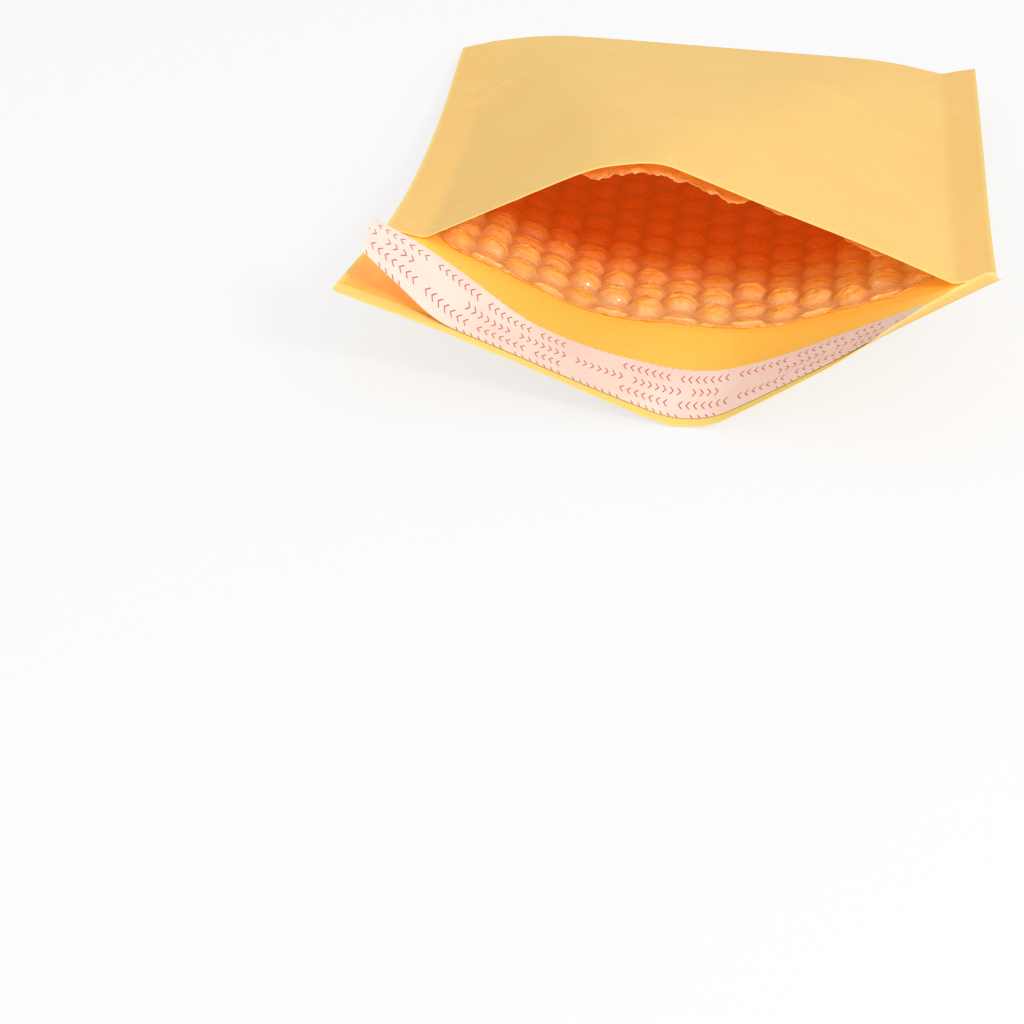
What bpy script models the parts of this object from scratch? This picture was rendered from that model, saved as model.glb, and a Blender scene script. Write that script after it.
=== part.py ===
# Padded envelope, open and lying on its back panel. One kraft sheet is folded at the bottom into
# a front and a back panel, sealed along both sides, and runs on past the mouth as the flap. A
# folded web of bubble film lines the panels. An adhesive strip and the release liner that covers
# it lie on the flap.
#
# Metres, +Z up. The bottom fold points to +Y, the mouth and the flap to -Y. Every piece is made
# flat in the sheet's own coordinates and then laid on the bent sheet:
#   X  across the sheet, 0 at its centre line
#   Y  along the sheet, 0 at the bottom fold, positive up the front panel, negative down the back
#   Z  above the sheet's outer face, towards the inside of the envelope

from math import pi, radians, sqrt

import bmesh
import bpy
import numpy as np
from mathutils import Matrix, Vector

# Kraft sheet
SHEET_WIDTH = 0.188
BODY_LENGTH = 0.220
FLAP_LENGTH = 0.046
SEAM_WIDTH = 0.012
PAPER_THICKNESS = 0.00025

# Bubble film
FILM_THICKNESS = 0.0002
BUBBLE_PITCH = 0.012
BUBBLE_HEIGHT = 0.0032
BUBBLE_SHOULDER = 0.0021
LINER_SETBACK = 0.0015
SEALED_FILM_WIDTH = 0.008
SEAL_GAP = 0.00015

# Adhesive strip and release liner on the flap
ADHESIVE_WIDTH = 0.018
ADHESIVE_THICKNESS = 0.0002
RELEASE_WIDTH = 0.022
RELEASE_THICKNESS = 0.0002
STRIP_EDGE_MARGIN = 0.0035
STRIP_END_INSET = 0.003

# Clearances between pieces that lie on each other
SEAM_CLEARANCE = 0.00025
PANEL_CLEARANCE = 0.0005
STRIP_CLEARANCE = 0.0003

# Heights of the opened pouch: the padded bottom, the mouth and the flap's edge. The seams'
# heights are given at the left edge, the left and right inner edges and the right edge. Small
# waves in the paper take up a share of its width at the mouth.
FOLD_THICKNESS = 0.009
LIP_HEIGHT = 0.0547
MOUTH_FLOOR_HEIGHT = 0.0048
SEAM_HEIGHTS_AT_FOLD = (0.0024, 0.0053, 0.0054, 0.0085)
SEAM_HEIGHTS_AT_MOUTH = (0.0287, 0.0262, 0.0253, 0.0291)
FLAP_CORNER_HEIGHTS = (0.0342, 0.0505)
MOUTH_TAKE_UP = 0.06
FOLD_CORNER_DRAW = (0.005, 0.0002)

# Where each panel bends: the ends of its level middle, left and right of the centre line. The
# left seam climbs from the bottom fold to the mouth in a bow, late and then steeply.
KNEES_AT_FOLD = (-0.062, 0.062)
LIP_KNEES = (-0.0168, -0.0168)
FLOOR_KNEES = (-0.0254, 0.0233)
FLAP_KNEE = 0.0066
KNEE_SOFTNESS = 0.012
FLAP_SOFTNESS = 0.0104
LEVEL_FLOOR_SHARE = 0.45
SEAM_BOW_LEFT = -0.67
SEAM_BOW_RIGHT = 0.04

# The release liner's loose left end: where it leaves the flap and how steeply, at the edge
# nearer the mouth and at the edge nearer the flap's end
LIFT_START = (-0.045, -0.066)
LIFT_SLOPE = (0.23, 0.60)
LIFT_SOFTNESS = 0.006

# Facet sizes of the bent sheet
COLUMN_STEP = 0.008
ROW_STEP = 0.020
FLAP_ROW_STEP = 0.0055
FOLD_SEGMENTS = 6
TABLE_STEP = 0.001

HALF_WIDTH = SHEET_WIDTH / 2
ROOT = HALF_WIDTH - SEAM_WIDTH
FOLD_ARC = pi / 4 * FOLD_THICKNESS
SEAM_THICKNESS = 2 * (PAPER_THICKNESS + SEAM_CLEARANCE + FILM_THICKNESS) + SEAL_GAP
LINER_BASE = PAPER_THICKNESS + PANEL_CLEARANCE


def ramp(distance, softness):
    # zero, then a straight climb of 1, with a round bend between them
    bend = (distance + softness) ** 2 / (4 * softness)
    return np.where(distance < -softness, 0, np.where(distance > softness, distance, bend))


def seam_height(across, opening):
    # the seams' height, and straight across the pouch between their inner edges
    places = (-HALF_WIDTH, -ROOT, ROOT, HALF_WIDTH)
    left = opening + SEAM_BOW_LEFT * opening * (1 - opening)
    right = opening + SEAM_BOW_RIGHT * opening * (1 - opening)
    heights = [low + (high - low) * climb
               for low, high, climb in zip(SEAM_HEIGHTS_AT_FOLD, SEAM_HEIGHTS_AT_MOUTH,
                                           (left, left, right, right))]
    return np.interp(across, places, heights)


def span_height(across, edge_height, middle_height, knees):
    # a level middle between two knees, and a straight slope from each knee to the seam
    left = ramp(knees[0] - across, KNEE_SOFTNESS) / (knees[0] + ROOT)
    right = ramp(across - knees[1], KNEE_SOFTNESS) / (ROOT - knees[1])
    share = np.minimum(left + right, 1)
    return middle_height + (edge_height - middle_height) * share


def knees_between(start, end, share):
    return [low + (high - low) * share for low, high in zip(start, end)]


def front_height(across, opening):
    edge = seam_height(across, opening) + SEAM_THICKNESS / 2
    middle = FOLD_THICKNESS + (LIP_HEIGHT - FOLD_THICKNESS) * opening
    return span_height(across, edge, middle, knees_between(KNEES_AT_FOLD, LIP_KNEES, opening))


def back_height(across, opening):
    edge = seam_height(across, opening) - SEAM_THICKNESS / 2
    climb = max(0, (opening - LEVEL_FLOOR_SHARE) / (1 - LEVEL_FLOOR_SHARE))
    middle = MOUTH_FLOOR_HEIGHT * climb ** 2
    return span_height(across, edge, middle, knees_between(KNEES_AT_FOLD, FLOOR_KNEES, opening))


def flap_height(across, share):
    # from the mouth's floor to the flap's end, a soft V that rests where the back panel rests
    left = ramp(FLAP_KNEE - across, FLAP_SOFTNESS) / (HALF_WIDTH + FLAP_KNEE)
    right = ramp(across - FLAP_KNEE, FLAP_SOFTNESS) / (HALF_WIDTH - FLAP_KNEE)
    end = FLAP_CORNER_HEIGHTS[0] * left + FLAP_CORNER_HEIGHTS[1] * right
    return back_height(across, 1) * (1 - share) + (end - end.min()) * share


def spread(heights, across):
    # places across the sheet when its own width is kept along the slopes
    slope = np.gradient(heights, across, axis=1)
    step = np.sqrt(np.maximum(1 - slope ** 2, 0.04))
    strips = (step[:, 1:] + step[:, :-1]) / 2 * np.diff(across)
    places = np.concatenate([np.zeros((len(heights), 1)), np.cumsum(strips, axis=1)], axis=1)
    centre = [np.interp(0, across, row) for row in places]
    return places - np.array(centre)[:, None]


def run_back(places, heights, rows, start):
    # places along the envelope when the sheet's own length is kept from row to row
    square = np.diff(rows)[:, None] ** 2 - np.diff(places, axis=0) ** 2 - np.diff(heights, axis=0) ** 2
    steps = np.sqrt(np.maximum(square, (0.2 * np.diff(rows)[:, None]) ** 2))
    return start - np.concatenate([start[None] * 0, np.cumsum(steps, axis=0)])


def fold_line(across):
    # the bottom fold, whose corners the padding draws in
    draw = np.where(across < 0, *FOLD_CORNER_DRAW)
    return -draw * (across / HALF_WIDTH) ** 4


def count_lines(length, step):
    return int(round(length / step)) + 1


class BentSheet:
    # the outer face of the sheet as a table of points, read between its lines

    def __init__(self):
        across = np.linspace(-HALF_WIDTH, HALF_WIDTH, count_lines(SHEET_WIDTH, TABLE_STEP))
        panel = np.linspace(FOLD_ARC, BODY_LENGTH, count_lines(BODY_LENGTH - FOLD_ARC, 2 * TABLE_STEP))
        flap = np.linspace(0, FLAP_LENGTH, count_lines(FLAP_LENGTH, 2 * TABLE_STEP))
        openings = (panel - FOLD_ARC) / (BODY_LENGTH - FOLD_ARC)

        front_z = np.array([front_height(across, opening) for opening in openings])
        back_z = np.array([back_height(across, opening) for opening in openings])
        flap_z = np.array([flap_height(across, length / FLAP_LENGTH) for length in flap])

        # the back panel takes the front panel's width between the seams
        kept = 1 - MOUTH_TAKE_UP * openings[:, None]
        front_x = spread(front_z, across) * kept
        back_x = spread(back_z, across) * kept
        for row, wide in zip(back_x, front_x):
            left, right = np.interp([-ROOT, ROOT], across, row)
            wide_left, wide_right = np.interp([-ROOT, ROOT], across, wide)
            inner = np.where(across < 0, row * wide_left / left, row * wide_right / right)
            row[:] = np.where(np.abs(across) <= ROOT, inner, wide)
        flap_x = spread(flap_z, across)
        flap_x += (back_x[-1] - flap_x[0]) * (1 - flap / FLAP_LENGTH)[:, None]

        start = fold_line(across)
        front_y = run_back(front_x, front_z, panel, start)
        long_x = np.concatenate([back_x, flap_x[1:]])
        long_z = np.concatenate([back_z, flap_z[1:]])
        long_rows = np.concatenate([panel, BODY_LENGTH + flap[1:]])
        long_y = run_back(long_x, long_z, long_rows, start)

        # the bottom fold is a half circle from the back panel to the front panel
        turns = np.linspace(-pi / 2, pi / 2, 4 * FOLD_SEGMENTS + 1)[1:-1, None]
        radius = (front_z[0] - back_z[0]) / 2
        fold_z = (front_z[0] + back_z[0]) / 2 + radius * np.sin(turns)
        fold_y = start + radius * np.cos(turns)
        fold_x = back_x[0] + (front_x[0] - back_x[0]) * (1 + np.sin(turns)) / 2

        self.across = across
        self.along = np.concatenate([-long_rows[::-1], turns[:, 0] * FOLD_ARC / (pi / 2), panel])
        place_x = np.concatenate([long_x[::-1], fold_x, front_x])
        place_y = np.concatenate([long_y[::-1], fold_y, front_y])
        place_z = np.concatenate([long_z[::-1], fold_z, front_z])
        place_x -= (place_x.min() + place_x.max()) / 2
        place_y -= (place_y.min() + place_y.max()) / 2
        self.points = np.stack([place_x, place_y, place_z], axis=-1)
        self.normals = np.cross(np.gradient(self.points, across, axis=1),
                                np.gradient(self.points, self.along, axis=0))
        self.panel = panel
        self.rooms = front_z - back_z

    def read(self, table, rows, across, along):
        row = int(np.clip(np.searchsorted(rows, along) - 1, 0, len(rows) - 2))
        column = int(np.clip((across - self.across[0]) / (self.across[1] - self.across[0]), 0,
                             len(self.across) - 2))
        row_share = (along - rows[row]) / (rows[row + 1] - rows[row])
        column_share = (across - self.across[column]) / (self.across[1] - self.across[0])
        near = table[row, column] * (1 - column_share) + table[row, column + 1] * column_share
        far = table[row + 1, column] * (1 - column_share) + table[row + 1, column + 1] * column_share
        return near * (1 - row_share) + far * row_share

    def place(self, across, along, above):
        point = self.read(self.points, self.along, across, along)
        normal = self.read(self.normals, self.along, across, along)
        return Vector(point + above * normal / np.linalg.norm(normal))

    def room(self, across, along):
        # height between the outer faces of the two panels
        return self.read(self.rooms[..., None], self.panel, across, abs(along))[0]


def even_lines(start, end, step):
    return list(np.linspace(start, end, max(2, count_lines(abs(end - start), step))))


def sheet_columns(half_width):
    # the sheet's own bend lines as far as a piece reaches, so that it bends where the sheet does
    lines = even_lines(-ROOT, ROOT, COLUMN_STEP)
    if half_width > ROOT + COLUMN_STEP / 2:
        inner = lines
    else:
        inner = [line for line in lines if abs(line) < half_width - COLUMN_STEP / 2]
    return [-half_width] + inner + [half_width]


def cut_along(bm, axis, places):
    for place in places:
        spot = Vector((0, 0, 0))
        spot[axis] = place
        normal = Vector((0, 0, 0))
        normal[axis] = 1
        bmesh.ops.bisect_plane(bm, geom=bm.verts[:] + bm.edges[:] + bm.faces[:], dist=1e-7,
                               plane_co=spot, plane_no=normal)


def trim_to(bm, axis, low, high):
    for place, direction in ((low, -1), (high, 1)):
        spot = Vector((0, 0, 0))
        spot[axis] = place
        normal = Vector((0, 0, 0))
        normal[axis] = direction
        bmesh.ops.bisect_plane(bm, geom=bm.verts[:] + bm.edges[:] + bm.faces[:], dist=1e-7,
                               plane_co=spot, plane_no=normal, clear_outer=True)


def thicken(bm, base, thickness):
    # a flat web at Z 0 becomes a flat slab from base to base + thickness
    bmesh.ops.translate(bm, verts=bm.verts[:], vec=(0, 0, base))
    raised = bmesh.ops.extrude_face_region(bm, geom=bm.faces[:])["geom"]
    top = [item for item in raised if isinstance(item, bmesh.types.BMVert)]
    bmesh.ops.translate(bm, verts=top, vec=(0, 0, thickness))
    bmesh.ops.recalc_face_normals(bm, faces=bm.faces[:])


def flat_slab(across_lines, along_lines, base, thickness):
    bm = bmesh.new()
    bmesh.ops.create_grid(bm, x_segments=1, y_segments=1, size=0.5)
    width = across_lines[-1] - across_lines[0]
    length = along_lines[-1] - along_lines[0]
    bmesh.ops.scale(bm, verts=bm.verts[:], vec=(width, length, 1))
    centre = ((across_lines[0] + across_lines[-1]) / 2, (along_lines[0] + along_lines[-1]) / 2, 0)
    bmesh.ops.translate(bm, verts=bm.verts[:], vec=centre)
    cut_along(bm, 0, across_lines[1:-1])
    cut_along(bm, 1, along_lines[1:-1])
    thicken(bm, base, thickness)
    return bm


def honeycomb(columns_each_side, rows_each_side):
    # hexagons in columns that run along the sheet, every other column half a pitch further on
    bm = bmesh.new()
    turn = Matrix.Rotation(radians(90), 4, "Z")
    for column in range(-columns_each_side, columns_each_side + 1):
        offset = 0.5 * (column % 2)
        for row in range(-rows_each_side - 1, rows_each_side + 1):
            centre = Vector((column * BUBBLE_PITCH * sqrt(3) / 2, (row + offset) * BUBBLE_PITCH, 0))
            bmesh.ops.create_circle(bm, cap_ends=True, radius=BUBBLE_PITCH / sqrt(3), segments=6,
                                    matrix=Matrix.Translation(centre) @ turn)
    bmesh.ops.remove_doubles(bm, verts=bm.verts[:], dist=BUBBLE_PITCH / 100)
    return bm


def widen(bm, reach, width):
    # a flat margin along both sides of the web
    for side in (-1, 1):
        edge = [item for item in bm.edges
                if item.is_boundary and all(abs(vert.co.x - side * reach) < 1e-6 for vert in item.verts)]
        grown = bmesh.ops.extrude_edge_only(bm, edges=edge)["geom"]
        outer = [item for item in grown if isinstance(item, bmesh.types.BMVert)]
        bmesh.ops.translate(bm, verts=outer, vec=(side * width, 0, 0))


def finish(name, bm, sheet, material, collection):
    for vert in bm.verts:
        vert.co = sheet.place(*vert.co)
    mesh = bpy.data.meshes.new(name)
    bm.to_mesh(mesh)
    bm.free()
    mesh.materials.append(material)
    mesh.shade_smooth()
    mesh.set_sharp_from_angle(angle=radians(35))
    piece = bpy.data.objects.new(name, mesh)
    collection.objects.link(piece)
    return piece


def make_material(name, colour, roughness):
    material = bpy.data.materials.new(name)
    material.use_nodes = True
    shader = material.node_tree.nodes["Principled BSDF"]
    shader.inputs["Base Color"].default_value = (*colour, 1)
    shader.inputs["Roughness"].default_value = roughness
    shader.inputs["Metallic"].default_value = 0
    return material


def make_paper_envelope(sheet, collection):
    fold_lines = list(np.linspace(-FOLD_ARC, FOLD_ARC, FOLD_SEGMENTS + 1))
    flap_lines = even_lines(-BODY_LENGTH - FLAP_LENGTH, -BODY_LENGTH, FLAP_ROW_STEP)
    back_lines = even_lines(-BODY_LENGTH, -FOLD_ARC, ROW_STEP)
    front_lines = even_lines(FOLD_ARC, BODY_LENGTH, ROW_STEP)
    rows = flap_lines + back_lines[1:] + fold_lines[1:] + front_lines[1:]
    bm = flat_slab(sheet_columns(HALF_WIDTH), rows, 0, PAPER_THICKNESS)
    material = make_material("kraft_paper", (0.86, 0.54, 0.16), 0.7)
    finish("paper_envelope", bm, sheet, material, collection)


def make_bubble_liner(sheet, collection):
    length = BODY_LENGTH - LINER_SETBACK
    columns = int(ROOT / (BUBBLE_PITCH * sqrt(3) / 2)) + 1
    rows = int(length / BUBBLE_PITCH) + 1
    bm = honeycomb(columns, rows)
    trim_to(bm, 0, -ROOT, ROOT)
    trim_to(bm, 1, -length, length)
    cut_along(bm, 1, np.linspace(-FOLD_ARC, FOLD_ARC, FOLD_SEGMENTS - 1))
    widen(bm, ROOT, SEALED_FILM_WIDTH)
    thicken(bm, LINER_BASE, FILM_THICKNESS)

    # in the seams the web lies closer to the paper, so that both webs fit between the panels
    for vert in bm.verts:
        if abs(vert.co.x) > ROOT - FILM_THICKNESS:
            vert.co.z -= PANEL_CLEARANCE - SEAM_CLEARANCE

    # each whole cell between the seams and clear of the fold is blown up into a bubble
    cell_area = BUBBLE_PITCH ** 2 * sqrt(3) / 2
    cells = [face for face in bm.faces
             if face.normal.z > 0.9 and face.calc_area() > 0.999 * cell_area
             and max(abs(vert.co.x) for vert in face.verts) < ROOT
             and min(abs(vert.co.y) for vert in face.verts) > 0.7 * FOLD_ARC]
    bmesh.ops.inset_individual(bm, faces=cells, thickness=BUBBLE_SHOULDER, use_even_offset=True)
    for cell in cells:
        for vert in cell.verts:
            half_room = sheet.room(vert.co.x, vert.co.y) / 2
            headroom = half_room - LINER_BASE - FILM_THICKNESS - PANEL_CLEARANCE / 2
            vert.co.z += min(BUBBLE_HEIGHT, max(headroom, FILM_THICKNESS))
    material = make_material("bubble_film", (0.85, 0.45, 0.18), 0.25)
    finish("bubble_liner", bm, sheet, material, collection)


def make_adhesive_strip(sheet, collection):
    end = HALF_WIDTH - STRIP_END_INSET
    centre = -BODY_LENGTH - FLAP_LENGTH + STRIP_EDGE_MARGIN + RELEASE_WIDTH / 2
    rows = even_lines(centre - ADHESIVE_WIDTH / 2, centre + ADHESIVE_WIDTH / 2, FLAP_ROW_STEP)
    base = PAPER_THICKNESS + STRIP_CLEARANCE
    bm = flat_slab(sheet_columns(end), rows, base, ADHESIVE_THICKNESS)
    material = make_material("adhesive", (0.92, 0.60, 0.30), 0.3)
    finish("adhesive_strip", bm, sheet, material, collection)


def make_release_liner(sheet, collection):
    end = HALF_WIDTH - STRIP_END_INSET
    low = -BODY_LENGTH - FLAP_LENGTH + STRIP_EDGE_MARGIN
    rows = even_lines(low, low + RELEASE_WIDTH, FLAP_ROW_STEP)
    base = PAPER_THICKNESS + 2 * STRIP_CLEARANCE + ADHESIVE_THICKNESS
    bm = flat_slab(sheet_columns(end), rows, base, RELEASE_THICKNESS)

    # the loose end curls up, and more so at the edge nearer the flap's end
    for vert in bm.verts:
        share = (vert.co.y - low) / RELEASE_WIDTH
        start = LIFT_START[1] + (LIFT_START[0] - LIFT_START[1]) * share
        slope = LIFT_SLOPE[1] + (LIFT_SLOPE[0] - LIFT_SLOPE[1]) * share
        vert.co.z += slope * float(ramp(start - vert.co.x, LIFT_SOFTNESS))
    material = make_material("release_paper", (0.96, 0.84, 0.78), 0.5)
    finish("release_liner", bm, sheet, material, collection)


def main():
    for leftover in list(bpy.data.objects):
        bpy.data.objects.remove(leftover, do_unlink=True)
    collection = bpy.data.collections.new("padded_envelope")
    bpy.context.scene.collection.children.link(collection)

    sheet = BentSheet()
    make_paper_envelope(sheet, collection)
    make_bubble_liner(sheet, collection)
    make_adhesive_strip(sheet, collection)
    make_release_liner(sheet, collection)


main()
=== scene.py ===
# Padded envelope, open and lying on its back panel: kraft paper outside, bubble film inside, and a
# peel-off strip on the flap. Metres, +Z up, the mouth and the flap towards -Y.
# Every piece is made flat, in the sheet's own coordinates, and then laid on the bent sheet:
# X across the sheet, Y along it (0 at the bottom fold, + up the front panel, - down the back panel
# and the flap), Z above the sheet's outer face, towards the inside of the envelope.

from math import cos, pi, radians, sin, sqrt

import bmesh
import bpy
import numpy as np
from mathutils import Matrix, Vector, noise


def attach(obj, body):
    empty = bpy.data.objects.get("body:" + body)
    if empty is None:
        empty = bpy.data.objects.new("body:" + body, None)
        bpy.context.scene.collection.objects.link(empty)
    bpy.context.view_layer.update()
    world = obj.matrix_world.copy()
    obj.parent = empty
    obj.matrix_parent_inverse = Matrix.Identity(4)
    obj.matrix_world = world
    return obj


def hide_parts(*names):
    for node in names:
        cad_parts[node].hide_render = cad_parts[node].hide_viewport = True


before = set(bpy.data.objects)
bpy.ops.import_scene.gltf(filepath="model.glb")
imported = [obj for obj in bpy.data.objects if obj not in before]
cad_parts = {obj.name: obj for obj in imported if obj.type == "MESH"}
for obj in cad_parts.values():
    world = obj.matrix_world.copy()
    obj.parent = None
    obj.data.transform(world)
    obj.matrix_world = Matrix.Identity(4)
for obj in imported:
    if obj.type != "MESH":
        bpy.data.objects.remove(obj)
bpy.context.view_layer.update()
print("packed model loaded:", sorted(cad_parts))

sheetShape = {
    "width": 0.188,
    "bodyLength": 0.220,
    "flapLength": 0.046,
    "seamWidth": 0.012,
    "paper": 0.00022,
    "seamThickness": 0.0010,
    "foldThickness": 0.009,
    "lipHeight": 0.0547,
    "mouthFloorHeight": 0.0048,
    "seamHeightsAtFold": (0.0024, 0.0053, 0.0054, 0.0085),
    "seamHeightsAtMouth": (0.0287, 0.0262, 0.0253, 0.0291),
    "flapCornerHeights": (0.0342, 0.0505),
    "mouthTakeUp": 0.06,
    "foldCornerDraw": (0.005, 0.0002),
    "kneesAtFold": (-0.062, 0.062),
    "lipKnees": (-0.0168, -0.0168),
    "floorKnees": (-0.0254, 0.0233),
    "flapKnee": 0.0066,
    "kneeSoftness": 0.012,
    "flapSoftness": 0.0104,
    "levelFloorShare": 0.45,
    "seamBows": (-0.67, 0.04),
    "lipDents": ((-0.020, 0.009, -0.0011), (0.056, 0.022, 0.0006)),   # place, width, height
    "foldSegments": 24,
    "tableStep": 0.001,
}
halfWidth = sheetShape["width"] / 2
rootLine = halfWidth - sheetShape["seamWidth"]
bodyLength = sheetShape["bodyLength"]
flapEnd = -bodyLength - sheetShape["flapLength"]
foldArc = pi / 4 * sheetShape["foldThickness"]
liftOff = 0.0002   # the paper's underside lies this much above the floor


# The bent sheet

def ramp(distance, softness):   # zero, then a straight climb of 1, with a round bend between
    bend = (distance + softness) ** 2 / (4 * softness)
    return np.where(distance < -softness, 0, np.where(distance > softness, distance, bend))


def smoothStep(low, high, value):
    share = np.clip((value - low) / (high - low), 0, 1)
    return share * share * (3 - 2 * share)


def bump(value, centre, width):
    return np.exp(-((value - centre) / width) ** 2)


def seamHeight(across, opening):
    places = (-halfWidth, -rootLine, rootLine, halfWidth)
    left, right = (opening + bow * opening * (1 - opening) for bow in sheetShape["seamBows"])
    heights = [low + (high - low) * climb
               for low, high, climb in zip(sheetShape["seamHeightsAtFold"],
                                           sheetShape["seamHeightsAtMouth"],
                                           (left, left, right, right))]
    return np.interp(across, places, heights)


def spanHeight(across, edgeHeight, middleHeight, knees):   # level middle, then slopes to the seams
    softness = sheetShape["kneeSoftness"]
    left = ramp(knees[0] - across, softness) / (knees[0] + rootLine)
    right = ramp(across - knees[1], softness) / (rootLine - knees[1])
    return middleHeight + (edgeHeight - middleHeight) * np.minimum(left + right, 1)


def kneesBetween(start, end, share):
    return [low + (high - low) * share for low, high in zip(start, end)]


def frontHeight(across, opening):
    edge = seamHeight(across, opening) + sheetShape["seamThickness"] / 2
    low, high = sheetShape["foldThickness"], sheetShape["lipHeight"]
    knees = kneesBetween(sheetShape["kneesAtFold"], sheetShape["lipKnees"], opening)
    height = spanHeight(across, edge, low + (high - low) * opening, knees)
    dents = sum(deep * bump(across, place, wide) for place, wide, deep in sheetShape["lipDents"])
    return height + dents * smoothStep(0.72, 1, opening)


def backHeight(across, opening):
    edge = seamHeight(across, opening) - sheetShape["seamThickness"] / 2
    level = sheetShape["levelFloorShare"]
    climb = max(0, (opening - level) / (1 - level))
    knees = kneesBetween(sheetShape["kneesAtFold"], sheetShape["floorKnees"], opening)
    return spanHeight(across, edge, sheetShape["mouthFloorHeight"] * climb ** 2, knees)


def flapHeight(across, share):
    knee, softness = sheetShape["flapKnee"], sheetShape["flapSoftness"]
    left = ramp(knee - across, softness) / (halfWidth + knee)
    right = ramp(across - knee, softness) / (halfWidth - knee)
    corners = sheetShape["flapCornerHeights"]
    end = corners[0] * left + corners[1] * right
    return backHeight(across, 1) * (1 - share) + (end - end.min()) * share


def spread(heights, across):   # places across, with the sheet's own width kept along the slopes
    slope = np.gradient(heights, across, axis=1)
    step = np.sqrt(np.maximum(1 - slope ** 2, 0.04))
    strips = (step[:, 1:] + step[:, :-1]) / 2 * np.diff(across)
    places = np.concatenate([np.zeros((len(heights), 1)), np.cumsum(strips, axis=1)], axis=1)
    centre = [np.interp(0, across, row) for row in places]
    return places - np.array(centre)[:, None]


def foldLine(across):   # the bottom fold, whose corners the padding draws in
    draw = np.where(across < 0, *sheetShape["foldCornerDraw"])
    return -draw * (across / halfWidth) ** 4


def runBack(places, heights, rows, start):   # places along, with the sheet's own length kept
    square = (np.diff(rows)[:, None] ** 2 - np.diff(places, axis=0) ** 2
              - np.diff(heights, axis=0) ** 2)
    steps = np.sqrt(np.maximum(square, (0.2 * np.diff(rows)[:, None]) ** 2))
    return start - np.concatenate([start[None] * 0, np.cumsum(steps, axis=0)])


def evenCount(length, step):
    return int(round(length / step)) + 1


class BentSheet:   # the sheet's outer face as a table of points, read between its lines

    def __init__(self):
        step = sheetShape["tableStep"]
        across = np.linspace(-halfWidth, halfWidth, evenCount(2 * halfWidth, step))
        panel = np.linspace(foldArc, bodyLength, evenCount(bodyLength - foldArc, step))
        flap = np.linspace(0, sheetShape["flapLength"], evenCount(sheetShape["flapLength"], step))
        openings = (panel - foldArc) / (bodyLength - foldArc)

        frontZ = np.array([frontHeight(across, opening) for opening in openings])
        backZ = np.array([backHeight(across, opening) for opening in openings])
        flapZ = np.array([flapHeight(across, length / sheetShape["flapLength"]) for length in flap])

        kept = 1 - sheetShape["mouthTakeUp"] * openings[:, None]
        frontX = spread(frontZ, across) * kept
        backX = spread(backZ, across) * kept
        for row, wide in zip(backX, frontX):   # the back takes the front's width between the seams
            left, right = np.interp([-rootLine, rootLine], across, row)
            wideLeft, wideRight = np.interp([-rootLine, rootLine], across, wide)
            inner = np.where(across < 0, row * wideLeft / left, row * wideRight / right)
            row[:] = np.where(np.abs(across) <= rootLine, inner, wide)
        flapX = spread(flapZ, across)
        flapX += (backX[-1] - flapX[0]) * (1 - flap / sheetShape["flapLength"])[:, None]

        longX = np.concatenate([backX, flapX[1:]])
        longZ = np.concatenate([backZ, flapZ[1:]])
        longRows = np.concatenate([panel, bodyLength + flap[1:]])
        start = foldLine(across)
        frontY = runBack(frontX, frontZ, panel, start)
        longY = runBack(longX, longZ, longRows, start)

        # the bottom fold is a half circle from the back panel to the front panel
        turns = np.linspace(-pi / 2, pi / 2, sheetShape["foldSegments"] + 1)[1:-1, None]
        radius = (frontZ[0] - backZ[0]) / 2
        foldZ = (frontZ[0] + backZ[0]) / 2 + radius * np.sin(turns)
        foldY = start + radius * np.cos(turns)
        foldX = backX[0] + (frontX[0] - backX[0]) * (1 + np.sin(turns)) / 2

        self.across = across
        self.along = np.concatenate([-longRows[::-1], turns[:, 0] * foldArc / (pi / 2), panel])
        placeX = np.concatenate([longX[::-1], foldX, frontX])
        placeY = np.concatenate([longY[::-1], foldY, frontY])
        placeZ = np.concatenate([longZ[::-1], foldZ, frontZ])
        placeX -= (placeX.min() + placeX.max()) / 2
        placeY -= (placeY.min() + placeY.max()) / 2
        self.points = np.stack([placeX, placeY, placeZ + liftOff], axis=-1)
        self.normals = np.cross(np.gradient(self.points, self.across, axis=1),
                                np.gradient(self.points, self.along, axis=0))
        self.normals /= np.linalg.norm(self.normals, axis=-1, keepdims=True)
        self.panel = panel
        self.rooms = frontZ - backZ

    def read(self, table, rows, across, along):
        row = np.clip(np.searchsorted(rows, along) - 1, 0, len(rows) - 2)
        gap = self.across[1] - self.across[0]
        column = np.clip(((across - self.across[0]) / gap).astype(int), 0, len(self.across) - 2)
        rowShare = ((along - rows[row]) / (rows[row + 1] - rows[row]))[:, None]
        columnShare = ((across - self.across[column]) / gap)[:, None]
        near = table[row, column] * (1 - columnShare) + table[row, column + 1] * columnShare
        far = table[row + 1, column] * (1 - columnShare) + table[row + 1, column + 1] * columnShare
        return near * (1 - rowShare) + far * rowShare

    def lay(self, flat):   # flat points (across, along, above) to places in the room
        point = self.read(self.points, self.along, flat[:, 0], flat[:, 1])
        normal = self.read(self.normals, self.along, flat[:, 0], flat[:, 1])
        normal /= np.linalg.norm(normal, axis=1, keepdims=True)
        return point + flat[:, 2:] * normal

    def room(self, across, along):   # height between the outer faces of the two panels
        table = self.rooms[..., None]
        return self.read(table, self.panel, np.atleast_1d(across), np.abs(np.atleast_1d(along)))[:, 0]


# Flat pieces and how they are laid

def flatVerts(bm):
    return np.array([vert.co for vert in bm.verts])


def moveVerts(bm, places):
    for vert, place in zip(bm.verts, places):
        vert.co = place


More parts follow.
